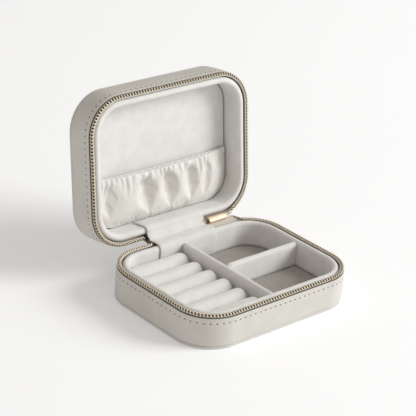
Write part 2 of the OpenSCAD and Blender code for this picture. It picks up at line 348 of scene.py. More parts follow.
class Nodes:
    """A short way to build one material's node tree."""

    def __init__(self, name, colour, roughness, metallic=0.0):
        self.material = bpy.data.materials.new(name)
        self.material.use_nodes = True
        self.tree = self.material.node_tree
        self.shader = self.tree.nodes["Principled BSDF"]
        self.set("Base Color", (*colour, 1))
        self.set("Roughness", roughness)
        self.set("Metallic", metallic)
        self.space = self.add("ShaderNodeTexCoord").outputs["Object"]

    def add(self, kind, **values):
        node = self.tree.nodes.new(kind)
        for key, value in values.items():
            setattr(node, key, value)
        return node

    def set(self, socket, value):
        self.shader.inputs[socket].default_value = value

    def link(self, a, b):
        self.tree.links.new(a, b)

    def texture(self, node, output, space, **inputs):
        for key, value in inputs.items():
            node.inputs[key].default_value = value
        self.link(space, node.inputs["Vector"])
        return node.outputs[output]

    def noise(self, size, detail=3.0, roughness=0.5, stretch=None):
        """Noise with features of the given size in metres."""
        space = self.space
        if stretch:
            space = self.texture(self.add("ShaderNodeMapping"), "Vector", space, Scale=stretch)
        node = self.add("ShaderNodeTexNoise")
        return self.texture(node, "Fac", space, Scale=1 / size, Detail=detail, Roughness=roughness)

    def cells(self, size):
        node = self.add("ShaderNodeTexVoronoi", feature="DISTANCE_TO_EDGE")
        return self.texture(node, "Distance", self.space, Scale=1 / size)

    def wave(self, size, direction, distortion=0.0):
        node = self.add("ShaderNodeTexWave", bands_direction=direction, wave_profile="SIN")
        return self.texture(node, "Fac", self.space, Scale=0.314 / size, Distortion=distortion)

    def multiply(self, a, b):
        node = self.add("ShaderNodeMath", operation="MULTIPLY")
        self.link(a, node.inputs[0])
        self.link(b, node.inputs[1])
        return node.outputs[0]

    def colour(self, value, low, high, start=0.3, end=0.7):
        """Maps value from start..end to a base colour between low and high."""
        node = self.add("ShaderNodeValToRGB")
        for element, position, colour in zip(node.color_ramp.elements, (start, end), (low, high)):
            element.position = position
            element.color = (*colour, 1)
        self.link(value, node.inputs["Fac"])
        self.link(node.outputs["Color"], self.shader.inputs["Base Color"])

    def rough(self, value, low, high):
        node = self.add("ShaderNodeMapRange")
        node.inputs["To Min"].default_value = low
        node.inputs["To Max"].default_value = high
        self.link(value, node.inputs["Value"])
        self.link(node.outputs["Result"], self.shader.inputs["Roughness"])

    def bump(self, *layers):
        """Each layer is a height and its depth in metres, stacked."""
        normal = None
        for height, depth in layers:
            node = self.add("ShaderNodeBump")
            node.inputs["Strength"].default_value = 1.0
            node.inputs["Distance"].default_value = depth
            self.link(height, node.inputs["Height"])
            if normal:
                self.link(normal, node.inputs["Normal"])
            normal = node.outputs["Normal"]
        self.link(normal, self.shader.inputs["Normal"])

    def sheen(self, weight, roughness, tint):
        self.set("Sheen Weight", weight)
        self.set("Sheen Roughness", roughness)
        self.set("Sheen Tint", (*tint, 1))


def scaled(colour, factor):
    return tuple(min(1.0, c * factor) for c in colour)


def leather_material(name, colour):
    m = Nodes(name, colour, 0.5)
    mottle = m.noise(9 * MM, 4)
    m.colour(mottle, scaled(colour, 0.96), scaled(colour, 1.03))
    pores = m.cells(0.62 * MM)
    wrinkles = m.noise(1.6 * MM, 5, 0.6)
    m.rough(m.noise(2.5 * MM, 3), 0.52, 0.64)
    m.bump((pores, 0.045 * MM), (wrinkles, 0.10 * MM))
    m.set("Specular IOR Level", 0.35)
    return m.material


def velvet_material(name, colour, tint, pile=0.16 * MM):
    m = Nodes(name, colour, 0.95)
    nap = m.noise(7 * MM, 3, 0.55)
    m.colour(nap, scaled(colour, 0.95), scaled(colour, 1.04))
    fibres = m.noise(pile, 2, 0.7)
    strokes = m.noise(1.1 * MM, 3, 0.6)
    m.bump((fibres, 0.07 * MM), (strokes, 0.07 * MM))
    m.set("Specular IOR Level", 0.15)
    m.sheen(0.55, 0.35, tint)
    return m.material


def tape_material():
    m = Nodes("tape_twill", (0.68, 0.65, 0.59), 0.85)
    across = m.wave(0.30 * MM, "DIAGONAL")
    along = m.wave(0.24 * MM, "Z")
    weave = m.multiply(across, along)
    m.colour(weave, (0.60, 0.57, 0.51), (0.75, 0.72, 0.66), 0.0, 0.8)
    m.bump((weave, 0.08 * MM), (m.noise(0.12 * MM, 2), 0.03 * MM))
    m.sheen(0.2, 0.5, (1, 0.98, 0.94))
    return m.material


def ribbed_material(name, colour, roughness, size, direction, shades, depth, distortion=0.0, sheen=0.0):
    """Fine round ribs, as of twisted thread or woven elastic. shades are its darkest and lightest."""
    m = Nodes(name, colour, roughness)
    ribs = m.wave(size * MM, direction, distortion)
    m.colour(ribs, *shades, 0.0, 1.0)
    m.bump((ribs, depth * MM))
    if sheen:
        m.sheen(sheen, 0.4, (1, 1, 1))
    return m.material


def metal_material(name, colour, roughness, metallic=1.0):
    m = Nodes(name, colour, roughness, metallic)
    smudge = m.noise(3 * MM, 3)
    m.colour(smudge, scaled(colour, 0.93), scaled(colour, 1.03))
    m.rough(m.noise(1.2 * MM, 4), roughness * 0.8, roughness * 1.35)
    m.bump((m.noise(0.25 * MM, 2, stretch=(0.2, 1, 1)), 0.006 * MM))
    return m.material


def board_material():
    m = Nodes("greyboard", (0.42, 0.37, 0.30), 0.9)
    m.colour(m.noise(0.8 * MM, 6, 0.7), (0.34, 0.30, 0.24), (0.50, 0.44, 0.36))
    m.bump((m.noise(0.5 * MM, 4, stretch=(1, 1, 4)), 0.05 * MM))
    return m.material


def foam_material():
    m = Nodes("foam", (0.80, 0.77, 0.68), 0.95)
    pores = m.cells(0.5 * MM)
    m.colour(pores, (0.60, 0.56, 0.46), (0.84, 0.81, 0.73), 0.0, 0.25)
    m.bump((pores, 0.12 * MM))
    return m.material


LEATHER = leather_material("greige_leather", (0.625, 0.606, 0.565))
VELVET = velvet_material("ivory_velvet", (0.760, 0.751, 0.730), (1.0, 0.995, 0.985))
POCKET = velvet_material("pocket_velvet", (0.765, 0.750, 0.715), (1.0, 0.99, 0.98), 0.2 * MM)
TAUPE = velvet_material("taupe_velvet", (0.355, 0.332, 0.305), (0.95, 0.92, 0.9))
TAPE = tape_material()
# Near-black brown that paints shade: in the needle holes, in the gaps of the coil, in the notch beside the hinge
# and in the crevice under the zip, where it also stands for the leather's edge paint.
SHADE_BROWN = ribbed_material("painted_shade_brown", (0.04, 0.028, 0.017), 0.95, 0.35, "DIAGONAL",
                       ((0.030, 0.020, 0.012), (0.055, 0.038, 0.023)), 0.06)
COIL = metal_material("pale_gold", (0.74, 0.65, 0.50), 0.34, 0.45)
DARK_BRASS = metal_material("dark_brass", (0.17, 0.125, 0.08), 0.45)
ROSE = metal_material("rose_gold", (0.81, 0.64, 0.50), 0.60)
THREAD = ribbed_material("stitch_thread", (0.70, 0.67, 0.61), 0.7, 0.22, "DIAGONAL",
                         ((0.62, 0.59, 0.53), (0.76, 0.73, 0.68)), 0.05, 1.0, 0.3)
BOARD = board_material()
FOAM = foam_material()
ELASTIC = ribbed_material("woven_elastic", (0.78, 0.76, 0.71), 0.8, 0.45, "X",
                          ((0.66, 0.64, 0.58), (0.82, 0.80, 0.76)), 0.12)

BY_SLOT = {
    "leather": LEATHER,
    "greyboard": BOARD,
    "thread": THREAD,
    "zip_tape": TAPE,
    "zip_coil": COIL,
    "brass_fittings": ROSE,
    "velvet": VELVET,
    "pocket_velvet": POCKET,
    "taupe_velvet": TAUPE,
    "foam": FOAM,
    "elastic": ELASTIC,
}


def finish_cad_nodes():
    """Every CAD node gets the procedural material of its slot."""
    for entry in frame["record"]["subparts"]:
        obj = frame["nodes"][entry["node"]]
        obj.data.materials.clear()
        obj.data.materials.append(BY_SLOT[entry["material_slot"]])


finish_cad_nodes()


# ---- Leather shell ----

STITCH_COUNT = round((PERIMETER - 2 * HINGE_HALF) / STITCH_PITCH)
STITCH_START = HINGE_HALF + 1 * MM
STITCH_END = PERIMETER - STITCH_START


def stitch_phase(s):
    """0 at a hole and 1 at the middle of a stitch, or None over the hinge."""
    if not STITCH_START <= s <= STITCH_END:
        return None
    turn = (s - STITCH_START) / (STITCH_END - STITCH_START) * STITCH_COUNT
    return abs(math.sin(math.pi * turn))


def stitch_place(count):
    """Arc length at which that many stitches are done."""
    return lerp(STITCH_START, STITCH_END, count / STITCH_COUNT)


def stitch_height(tray):
    return tray.box(tray.node("wall_cover"))[1].z - STITCH_DROP


def leather_wall(tray):
    low, high = tray.box(tray.node("wall_cover"))
    edge, foot = high.z, low.z
    line = stitch_height(tray)
    tuck = foot + 0.4 * MM
    rows = [foot + rise * MM for rise in (1.2, 3, 5.5, 8, 10)]
    rows += [line + rise * MM for rise in (-1.5, -1.0, -0.65, -0.4, -0.2, 0, 0.2, 0.4, 0.65, 1.0, 1.5)]
    seed = 3.0 if tray is LID else 0.0

    def face(s, z):
        """How far the leather's face lies inside its nominal plane."""
        phase = stitch_phase(s)
        dent = 0.04 * MM * math.exp(-((z - line) / (1.1 * MM)) ** 2)
        if phase is not None:
            near = math.exp(-((z - line) / (0.42 * MM)) ** 2)
            dent += near * (0.34 * MM * (1 - phase) ** 3 + 0.03 * MM)
        belly = -0.12 * MM * smooth((z - foot) / (4 * MM)) * smooth((line - z) / (4 * MM))
        return dent + belly + 0.05 * MM * wobble(at(s, 0, z), 14 * MM, seed) + 0.10 * MM

    def section(s):
        under = ((0.95, 0.06), (0.45, 0.02), (0.22, 0.10))
        points = [(inset * MM, foot + rise * MM) for inset, rise in under]
        points.append((face(s, tuck) + 0.05 * MM, tuck))
        points += [(face(s, z), z) for z in rows]
        top = face(s, edge)
        points += [(top + 0.02 * MM, edge - 0.9 * MM), (top + 0.06 * MM, edge - 0.4 * MM)]
        rolled = ((0.28, 0.12), (0.48, 0.01), (0.72, 0.05), (0.90, 0.3), (0.96, 1))
        return points + [(inset * MM, edge - drop * MM) for inset, drop in rolled]

    wall = sweep(tray.node("leather_wall"), section, step=0.55 * MM)
    tray.finish(wall, LEATHER, "leather", "wall_cover")


def add_stitch(verts, faces, a, b, out, radius, bow):
    """One stitch: a short round thread from a to b that bows outwards."""
    along = (b - a).normalized()
    side = along.cross(out).normalized()
    steps = 6
    rings = []
    for i in range(steps + 1):
        rise = math.sin(math.pi * i / steps)
        centre = a.lerp(b, i / steps) + out * (bow * rise - 0.25 * MM * (1 - rise))
        r = radius * (0.55 + 0.45 * max(0.0, rise) ** 0.5)
        rings.append([centre + out * (r * c) + side * (r * s) for c, s in circle(8)])
    add_rings(verts, faces, rings)


def stitches(tray):
    line = stitch_height(tray)
    verts, faces = [], []
    for i in range(STITCH_COUNT):
        a, b = stitch_place(i + 0.16), stitch_place(i + 0.84)
        p, q = at(a, 0.26 * MM, line - 0.05 * MM), at(b, 0.26 * MM, line + 0.05 * MM)
        add_stitch(verts, faces, p, q, outward((a + b) / 2), 0.24 * MM, 0.10 * MM)
    tray.finish(solid(tray.node("stitches"), verts, faces), THREAD, "thread", "stitch_thread")


def needle_holes(tray):
    """Dark eyes of the needle holes, sunk in the leather at both ends of each stitch. Their near-black brown is
    painted shade inside the holes.
    """
    line = stitch_height(tray)
    sides = 10
    verts, faces = [], []
    for i in range(STITCH_COUNT + 1):
        place = stitch_place(i)
        out = outward(place)
        side = UP.cross(out)
        middle = at(place, 0.30 * MM, line)
        start = len(verts)
        verts.append(middle + out * 0.14 * MM)
        for size, depth in ((0.30, 0.12), (0.46, 0.02), (0.50, -0.25)):
            centre = middle + out * depth * MM
            verts += [centre + (side * c + UP * s) * size * MM for c, s in circle(sides)]
        faces += [tuple(start + 1 + k for k in face) for face in band_faces(sides, 3)]
        faces += [(start, start + 1 + k, start + 1 + (k + 1) % sides) for k in range(sides)]
        faces.append(tuple(start + 1 + 2 * sides + k for k in range(sides)))
    tray.finish(solid(tray.node("needle_holes"), verts, faces), SHADE_BROWN, "thread")


def panel(tray, piece, crown):
    """Leather-covered end panel with a rolled edge. crown is how far its face is padded out."""
    low, high = tray.box(tray.node(piece))
    z0, z1 = low.z, high.z
    edge = [(1.4, z1 - 0.02 * MM), (0.75, z1 - 0.04 * MM), (0.40, z1 - 0.22 * MM), (0.16, z1 - 0.55 * MM),
            (0.08, z1 - 0.9 * MM), (0.14, z0 + 0.55 * MM), (0.42, z0 + 0.22 * MM), (0.85, z0 + 0.06 * MM),
            (1.5, z0)]
    count = 320
    steps = [PERIMETER * i / count for i in range(count)]
    rings = [[at(s, inset * MM, z) for s in steps] for inset, z in edge]
    shares = (0.97, 0.93, 0.87, 0.8, 0.7, 0.58, 0.45, 0.32, 0.2, 0.1)
    seed = 5.0 if tray is LID else 1.0
    rings += crowned(rings[-1], shares, z0, -crown, 0.22, 0.15, 25 * MM, seed)
    leather = slab(tray.node("leather_panel"), rings, z0 - crown, z1 - 0.02 * MM)
    tray.finish(leather, LEATHER, "leather", piece)


# ---- Zip ----

COIL_INSET = 1.35 * MM
COIL_STEPS = 16
SLIDER_LOW, SLIDER_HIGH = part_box("zip_slider")
LEFT_S = HINGE_HALF + 1.7 * MM
TAIL_START_S = PERIMETER - (SLIDER_HIGH.x + 11.4 * MM)
TAIL_JOIN_S = PERIMETER - (SLIDER_HIGH.x + 5.3 * MM)
TAIL_END_S = PERIMETER - (SLIDER_HIGH.x - 1.2 * MM)
COIL_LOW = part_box("base_zip_coil")[0]
COIL_Z = middle_of(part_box("base_zip_coil")).z
# Where each half's coil and tape meet the slider, in the frame at rest
ENTRY = {"base": Vector((0, 44.2 * MM, 21.1 * MM)), "lid": Vector((0, 45.5 * MM, 22.2 * MM))}


def tail_pull(s):
    """0 where the coil lies on its wall, 1 where it has reached the slider's axis."""
    return smooth((s - TAIL_START_S) / (TAIL_JOIN_S - TAIL_START_S))


def slider_entry(tray):
    """Where a half's coil enters the slider, in tray coordinates."""
    return tray.back @ ENTRY[tray.name]


def coil_centre(tray, s):
    """Centre of the coil, which bends up to the slider's mouth at its free end."""
    p = at(s, COIL_INSET, COIL_Z)
    entry = slider_entry(tray)
    return p.lerp(Vector((p.x, entry.y, entry.z)), tail_pull(s))


def coil(tray, s0, s1, name):
    """A flattened helix of flat wire on edge, its front strands leaning along the tape."""
    turns = round((s1 - s0) / COIL_PITCH)
    lean = -0.80 * MM
    count = turns * COIL_STEPS
    points = []
    for i, (c, s) in enumerate(arc(0, 4 * turns, count)):
        place = s0 + (s1 - s0) * i / count + lean * s
        size = (1 - 0.35 * tail_pull(place)) * MM
        away = outward(place) * 0.66 * size * bulge(c, 0.7)
        rise = 0.80 * size * bulge(s, 0.85) - 0.25 * size
        points.append(coil_centre(tray, place) + away + UP * rise)
    rings = []
    for i, p in enumerate(points):
        along = (points[min(i + 1, count)] - points[max(i - 1, 0)]).normalized()
        wide = UP.cross(outward(lerp(s0, s1, i / count)))
        wide = (wide - along * wide.dot(along)).normalized()
        thin = along.cross(wide)
        rings.append([p + wide * (0.40 * MM * c) + thin * (0.22 * MM * s) for c, s in circle(8)])
    return tray.put(loft(name, rings))


def zip_cord(tray, name, s0, s1, inset, z, radius):
    """A cord that follows the zip, and bends up to the slider where the coil does."""
    count = max(4, round((s1 - s0) / (0.9 * MM)))
    points = []
    for i in range(count + 1):
        s = s0 + (s1 - s0) * i / count
        points.append(at(s, inset, z) + coil_centre(tray, s) - at(s, COIL_INSET, COIL_Z))
    return tray.put(tube(name, points, radius, 10))


def tube(name, points, radius, sides=8, closed=False):
    """A round tube along points."""
    rings = []
    last = len(points) - 1
    up = Vector((0.31, 0.17, 0.93)).normalized()
    for i, p in enumerate(points):
        ahead = points[(i + 1) % len(points)] if closed or i < last else p
        behind = points[i - 1] if closed or i > 0 else p
        along = (ahead - behind).normalized()
        up = (up - along * up.dot(along)).normalized()
        side = along.cross(up)
        rings.append([p + up * (radius * c) + side * (radius * s) for c, s in circle(sides)])
    return loft(name, rings, closed)


def zip_tape(tray):
    """The woven tape under the coil, with its sewn edge just below the wire."""
    low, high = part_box("base_zip_tape")
    top = high.z + 0.5 * MM
    out, inner, gap = 1.08 * MM, 1.62 * MM, 0.30 * MM

    def section(s):
        ripple = 0.06 * MM * math.sin(s / (2.3 * MM)) + 0.08 * MM * wobble(at(s, 0, 0), 9 * MM)
        return [(out, low.z + 2 * MM), (out + gap, top - 3.2 * MM), (out + gap, top - 1.75 * MM),
                (out + gap * 0.3, top - 1.2 * MM), (out + ripple, top - 0.3 * MM),
                (out + 0.15 * MM, top), (inner - 0.15 * MM, top), (inner + ripple, top - 0.3 * MM),
                (inner + ripple * 0.5, top - 1.2 * MM), (inner, low.z + 2 * MM)]

    tape = sweep(tray.node("tape"), section, HINGE_HALF, TAIL_START_S, 0.9 * MM)
    tray.finish(tape, TAPE, "zip_tape", "zip_tape")


def follow_slider(obj, tray, wall, end):
    """Bakes a piece's place into its mesh, without bending it between its half of the box and the slider, which
    turns half as far as the lid.

    wall and end are the piece's two ends in tray coordinates; they are not used.
    """
    wall, end = tray.place @ wall, tray.place @ end
    if tray is BASE:
        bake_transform(obj)
    else:
        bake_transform(obj)


TAPE_FOOT = Vector((0, REAR_Y - COIL_INSET, ZIP_Z - 2.6 * MM))


def tape_web(tray):
    """The tape's last stretch, from the wall up into the slider, where the coils stay joined."""
    columns = 60
    rows = [[] for _ in range(6)]
    for k in range(columns + 1):
        s = lerp(TAIL_START_S, PERIMETER - HINGE_HALF - 0.25 * MM, k / columns)
        knee = at(s, COIL_INSET, TAPE_FOOT.z)
        top = coil_centre(tray, s).lerp(knee, 0.12)
        ripple = Vector((0, 0.05 * MM * math.sin(0.9 * k), 0))
        rows[0].append(at(s, COIL_INSET, ZIP_Z - 4.5 * MM))
        for i in range(5):
            rows[i + 1].append(knee.lerp(top, i / 4) + ripple)
    obj = tray.put(thicken(sheet(tray.node("tape_web"), rows), 0.45 * MM))
    dress(obj, TAPE, "zip_tape", None)
    follow_slider(obj, tray, TAPE_FOOT, slider_entry(tray))


# Where each half's folded tape end tapers out, beside the slider
GUSSET_END = {"base": Vector((0, 44.5 * MM, 20.4 * MM)), "lid": Vector((0, 45.4 * MM, 20.6 * MM))}


def notch_shade_sheet(tray):
    """Folded-in end of the tape beside the hinge, which tapers out along the zip. It is near-black brown: painted
    shade of the notch there.
    """
    end = tray.back @ GUSSET_END[tray.name]
    rows = []
    for i in range(7):
        row = []
        for k in range(17):
            far = k / 16
            rise = i / 6 * (1 - far) ** 1.5
            x = -lerp(HINGE_HALF - 0.4 * MM, HINGE_HALF + 5.0 * MM, far)
            y = lerp(TAPE_FOOT.y, end.y, rise)
            z = lerp(ZIP_Z - 1.9 * MM, end.z, rise) - 0.8 * MM * far
            row.append(Vector((x, y, z)))
        rows.append(row)
    obj = tray.put(thicken(sheet(tray.node("notch_shade_sheet"), rows), 0.4 * MM))
    dress(obj, SHADE_BROWN, "zip_tape", None)
    follow_slider(obj, tray, TAPE_FOOT, end)


def dark_edge_and_shade(tray):
    """Dark cord where the leather ends beside the tape: edge paint, darkened further as painted shade of the
    crevice under the zip.
    """
    height = WALL_HIGH.z + 0.02 * MM
    obj = zip_cord(tray, tray.node("edge_paint_and_shade"), HINGE_HALF, TAIL_START_S, 1.0 * MM, height, 0.20 * MM)
    return dress(obj, SHADE_BROWN, "leather", tray.name)


def sewing_line(tray):
    """Two rows of short stitches that hold the coil to its tape, outside and inside."""
    pitch = 1.5 * MM
    z = COIL_LOW.z - 0.28 * MM
    verts, faces = [], []
    for i in range(int((TAIL_START_S - LEFT_S) / pitch)):
        a, b = LEFT_S + i * pitch, LEFT_S + (i + 0.8) * pitch
        for inset, sign in ((0.95 * MM, 1), (1.78 * MM, -1)):
            out = outward((a + b) / 2) * sign
            add_stitch(verts, faces, at(a, inset, z), at(b, inset, z), out, 0.16 * MM, 0.06 * MM)
    tray.finish(solid(tray.node("zip_sewing"), verts, faces), THREAD, "thread")


def zip_half(tray):
    stretches = {
        "": (LEFT_S, TAIL_START_S),
        "_tail": (TAIL_START_S, TAIL_JOIN_S),
        "_end": (TAIL_JOIN_S, TAIL_END_S),
    }
    for suffix, (s0, s1) in stretches.items():
        wire = coil(tray, s0, s1, tray.node("coil" + suffix))
        dress(wire, COIL, "zip_coil", None)
        # The cord inside the coil is real, but its near-black brown is painted shade in the gaps between the
        # strands.
        name = tray.node("cord" + suffix)
        cord = zip_cord(tray, name, s0, s1, COIL_INSET, COIL_Z - 0.25 * MM, 0.42 * MM)
        dress(cord, SHADE_BROWN, "zip_tape", None)
        for obj in (wire, cord):
            if suffix == "_tail":
                follow_slider(obj, tray, coil_centre(tray, TAIL_START_S), coil_centre(tray, TAIL_JOIN_S))
            else:
                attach(obj, "zip_end" if suffix else tray.name)
        if not suffix:
            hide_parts(tray.node("zip_coil"))
    name = tray.node("tape_edge")
    inset, z = COIL_INSET + 1.15 * MM, COIL_Z - 0.05 * MM
    edge = zip_cord(tray, name, LEFT_S, TAIL_START_S, inset, z, 0.30 * MM)
    dress(edge, THREAD, "thread", tray.name)
    zip_tape(tray)
    sewing_line(tray)
    tape_web(tray)
    notch_shade_sheet(tray)
    dark_edge_and_shade(tray)


# ---- Velvet wall ----

LINER_LOW, LINER_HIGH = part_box("base_liner_wall")
LINER_OUT = (BOX_W - (LINER_HIGH.x - LINER_LOW.x)) / 2
# The corner that the compartments and the rolls follow, inside the velvet wall
INNER_R = CORNER_R - LINER_OUT - LINER_W


def velvet_wall(tray):
    low, high = tray.box(tray.node("liner_wall"))
    top = high.z
    r = LINER_W / 2
    seed = 7.0 if tray is LID else 2.0

    def section(place):
        p = at(place, LINER_OUT + r, top)
        lift = 0.07 * MM * wobble(p, 12 * MM, seed)
        sway = 0.10 * MM * wobble(p, 16 * MM, seed + 4)
        points = [(LINER_OUT + 0.1 * MM, low.z), (LINER_OUT + 0.05 * MM, top - 3 * r)]
        points += [(LINER_OUT + r - r * c + sway, top - r + (r + lift) * s) for c, s in arc(0, 2, 10)]
        wall = LINER_OUT + LINER_W
        points += [(wall + sway * 0.6, top - 2.4 * r), (wall + 0.05 * MM, top - 4 * r),
                   (wall, low.z + 3 * MM), (wall, low.z)]
        return points

    obj = sweep(tray.node("velvet_wall"), section, step=1.0 * MM)
    tray.finish(obj, VELVET, "velvet", "liner_wall")


for tray in (BASE, LID):
    leather_wall(tray)
    stitches(tray)
    needle_holes(tray)
    zip_half(tray)
    velvet_wall(tray)
panel(BASE, "bottom_panel", 0.0)
panel(LID, "top_panel", 0.35 * MM)


# ---- Soft forms ----

def along_line(points, steps):
    """Points at the given shares of a line's length, and that length."""
    total = [0.0]
    for a, b in zip(points, points[1:]):
        total.append(total[-1] + (b - a).length)
    result, i = [], 0
    for share in steps:
        want = total[-1] * share
        while i < len(points) - 2 and total[i + 1] < want:
            i += 1
        t = (want - total[i]) / max(total[i + 1] - total[i], 1e-9)
        result.append(points[i].lerp(points[i + 1], min(1.0, t)))
    return result, total[-1]


def resample(points, count):
    """Spreads count points evenly round a closed line."""
    return along_line(points + points[:1], [k / count for k in range(count)])[0]


def box_outline(low, high, radii, count):
    """Outline seen from above of a box whose corners are rounded by radii, from +X +Y on."""
    points = []
    for i, (sx, sy) in enumerate([(1, 1), (-1, 1), (-1, -1), (1, -1)]):
        r = radii[i]
        cx = high.x - r if sx > 0 else low.x + r
        cy = high.y - r if sy > 0 else low.y + r
        points += [Vector((cx + r * c, cy + r * s)) for c, s in arc(i, i + 1, 12)]
    return resample(points, count)


def shrunk(ring, inset, z):
    """A ring moved inwards by inset, at height z."""
    n = len(ring)
    points = []
    for i, p in enumerate(ring):
        way = (ring[(i + 1) % n] - ring[i - 1]).normalized()
        points.append(Vector((p.x - way.y * inset, p.y + way.x * inset, z)))
    return points


def pad(name, ring, low_z, high_z, crown, edge=0.7 * MM, seed=0.0):
    """A flat cushion with rolled edges and a slightly crowned top."""
    rings = [shrunk(ring, edge * 0.8, low_z), shrunk(ring, edge * 0.15, low_z + edge * 0.5)]
    rings += [shrunk(ring, 0, (low_z + high_z) / 2), shrunk(ring, edge * 0.1, high_z - edge * 0.6)]
    rings += [shrunk(ring, edge * 0.5, high_z - edge * 0.15)]
    last = shrunk(ring, edge, high_z)
    shares = [1 - i / 12 for i in range(12)]
    rings += crowned(last, shares, high_z, crown, 0.35, 0.3, 11 * MM, seed)
    return slab(name, rings, high_z + crown, low_z)


def run_cloth(obj, frames, cap, **values):
    """Lets a piece settle as cloth under pressure, moving no point by more than cap.

    The cloth runs 20 times larger than life, where the solver is steady.
    """
    grow = 20
    obj.data.transform(Matrix.Scale(grow, 4))
    start = [v.co.copy() for v in obj.data.vertices]
    settings = obj.modifiers.new("cloth", "CLOTH").settings
    settings.use_pressure = True
    settings.effector_weights.gravity = 0
    for key, value in values.items():
        setattr(settings, key, value)
    for frame_number in range(1, frames + 1):
        bpy.context.scene.frame_set(frame_number)
    apply_modifiers(obj)
    for v, p in zip(obj.data.vertices, start):
        move = v.co - p
        if move.length > cap * grow:
            v.co = p + move.normalized() * cap * grow
    obj.data.transform(Matrix.Scale(1 / grow, 4))


def inflate(obj, voxel, cap, pressure=4.0):
    """Puffs a closed piece with cloth under pressure."""
    modify(obj, "REMESH", mode="VOXEL", voxel_size=voxel)
    run_cloth(obj, 20, cap, quality=5, mass=0.3, uniform_pressure_force=pressure)
    soften(obj, 3)


def soften(obj, rounds):
    bm = bmesh.new()
    bm.from_mesh(obj.data)
    axes = {"use_axis_x": True, "use_axis_y": True, "use_axis_z": True}
    for _ in range(rounds):
        bmesh.ops.smooth_vert(bm, verts=bm.verts, factor=0.5, **axes)
    bm.to_mesh(obj.data)
    bm.free()
    shade_smooth(obj.data)


# ---- Compartments of the base ----

def floor_pad(node, corner):
    """Velvet floor pad. corner is the index of the corner that follows the box's rounded one."""
    low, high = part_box(node)
    radii = [1.2 * MM] * 4
    radii[corner] = INNER_R
    ring = box_outline(low, high, radii, 160)
    obj = pad(f"{node}_velvet", ring, low.z, high.z - 0.3 * MM, 0.25 * MM, 0.9 * MM, corner)
    inflate(obj, 0.55 * MM, 0.25 * MM)
    dress(obj, TAUPE, "taupe_velvet", "base", node)


def divider(name, place, length, thickness, foot, top, noses, seed):
    """A velvet-covered wall along +X of place, with a rounded top. noses says which ends are round."""
    half = thickness / 2
    stations = 96
    heights = [foot, foot + 3 * MM, (foot + top) / 2, top - 2.2 * half]
    section = [(-1, z) for z in heights]
    section += [(-c, None) for c, _ in arc(0, 2, 14)]
    section += [(1, z) for z in reversed(heights)]
    rings = []
    for i in range(stations + 1):
        x = length * i / stations
        pinch = 1.0
        for is_round, distance in ((noses[0], x), (noses[1], length - x)):
            if is_round and distance < half:
                pinch = min(pinch, math.sqrt(max(0.03, 1 - (1 - distance / half) ** 2)))
        ring = []
        for side, z in section:
            if z is None:
                z = top - half + half * (0.35 + 0.65 * pinch) * math.sqrt(max(0.0, 1 - side * side))
            p = Vector((x, side * half * pinch, z))
            p.y += 0.10 * MM * wobble(p, 9 * MM, seed)
            p.z += 0.12 * MM * wobble(p, 10 * MM, seed + 5) * smooth((z - foot) / (top - foot))
            ring.append(place @ p)
        rings.append(ring)
    return loft(name, rings)


def long_divider():
    low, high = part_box("long_divider_cover")
    middle = (low.x + high.x) / 2
    place = Matrix.Translation((middle, low.y, 0)) @ Matrix.Rotation(math.pi / 2, 4, "Z")
    length, width = high.y - low.y, high.x - low.x
    obj = divider("long_divider", place, length, width, low.z, high.z, (False, True), 1.0)
    dress(obj, VELVET, "velvet", "base", "long_divider_cover")


def short_divider():
    low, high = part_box("short_divider_cover")
    place = Matrix.Translation((low.x, (low.y + high.y) / 2, 0))
    length, width = high.x - low.x, high.y - low.y
    obj = divider("short_divider", place, length, width, low.z, high.z, (False, False), 2.0)
    for v in obj.data.vertices:
        near = math.exp(-((v.co.x - low.x - 0.9 * MM) / (0.5 * MM)) ** 2)
        v.co.z -= 0.7 * MM * near * smooth((v.co.z - high.z + 3 * MM) / (3 * MM))
        flare = 0.10 * (1 - near) * smooth((low.x + 4 * MM - v.co.x) / (3 * MM))
        v.co.y += (v.co.y - place.translation.y) * flare
    dress(obj, VELVET, "velvet", "base", "short_divider_cover")


def ring_roll(index):
    """A soft roll. Its left end follows the velvet wall and its right end is domed."""
    node = f"ring_roll_{index}"
    low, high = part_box(node)
    half = (high.y - low.y) / 2 + 0.12 * MM
    middle = (low.y + high.y) / 2
    wall = BOX_W / 2 - LINER_OUT - LINER_W
    end = high.x - 0.1 * MM
    foot = low.z + 0.1 * MM
    top = high.z + (0.35 + 0.25 * math.sin(2.1 * index)) * MM
    stations = 72
    section = [(side, rise, True) for side, rise in arc(0, 2, 24)]
    section = [(1.0, 0.0, False), (1.0, 0.18, False)] + section + [(-1.0, 0.18, False)]
    section += [(side, 0.0, False) for side in (-1.0, -0.5, 0.0, 0.5)]
    rings = []
    for i in range(stations + 1):
        t = 0.5 - 0.5 * math.cos(math.pi * i / stations)
        ring = []
        for side, rise, on_arch in section:
            y = middle + side * half
            start = 0.25 * MM - wall + INNER_R - round_depth(abs(y) - HALF_D, INNER_R)
            x = lerp(start, end, t)
            dome = round_end((end - x) / (4.6 * MM), 2.2)
            lip = round_end((x - start) / (2.2 * MM), 2)
            width = (0.40 + 0.60 * dome) * (0.93 + 0.07 * lip)
            height = (0.55 + 0.45 * dome) * (0.90 + 0.10 * lip)
            z = foot + rise * (top - foot)
            if on_arch:
                z = lerp(foot + 2.2 * MM, top, bulge(rise, 0.92))
            p = Vector((x, middle + side * half * width, foot + (z - foot) * height))
            p.z += 0.22 * MM * wobble(p, 13 * MM, index) * min(1.0, 2 * rise)
            ring.append(p)
        rings.append(ring)
    obj = loft(f"{node}_velvet", rings)
    inflate(obj, 0.6 * MM, 0.35 * MM, 5.0)
    dress(obj, VELVET, "velvet", "base", node)
    if index == ROLL_COUNT:
        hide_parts("ring_roll_foam")


def round_depth(over, radius):
    """Depth left in a rounded corner at a distance past the start of its curve."""
    over = min(max(0.0, over), radius)
    return math.sqrt(max(0.0, radius ** 2 - over ** 2))


def round_end(share, power):
    """0 at the tip of a rounded end, 1 where it meets the full section."""
    return math.sqrt(max(0.0, 1 - (1 - min(1.0, share)) ** power))


# ---- Lid lining ----

